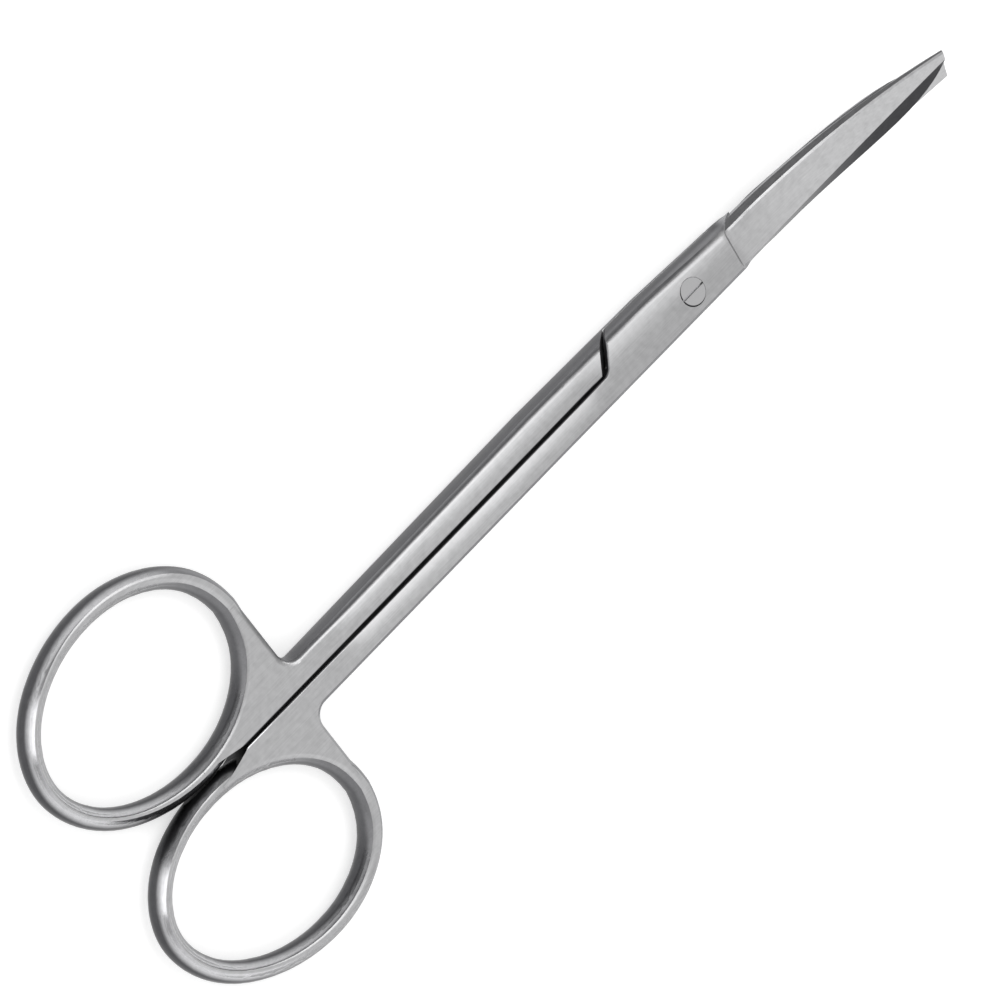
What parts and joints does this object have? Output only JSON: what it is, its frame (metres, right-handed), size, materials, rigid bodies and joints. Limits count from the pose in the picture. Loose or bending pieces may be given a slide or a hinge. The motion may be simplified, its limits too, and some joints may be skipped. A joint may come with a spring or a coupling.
{
  "type": "curved dissecting scissors",
  "caption": "Small surgical scissors with oval finger rings, slim shanks, a lap joint with a slotted screw, and blades curved on the flat to narrow blunt tips.",
  "frame": {"origin": "where the pivot axis meets the plane that the closed scissors lie on", "axes": "+X from the finger rings to the tips, +Y to the ring of the half that passes under, +Z along the pivot towards the screw's slot"},
  "size_m": [0.1151, 0.0406, 0.0076],
  "materials": {
    "satin_steel": "satin ground flats, polished rings",
    "screw_steel": "ground flush with the joint"
  },
  "bodies": {
    "lower": {"left_half": "satin_steel", "pivot_screw": "screw_steel"},
    "upper": {"right_half": "satin_steel"}
  },
  "joints": [
    {"name": "pivot", "type": "hinge", "parent": "lower", "child": "upper", "pos_m": [0, 0, 0.00145], "axis": [0, 0, 1], "range_deg": [0, 65]}
  ]
}
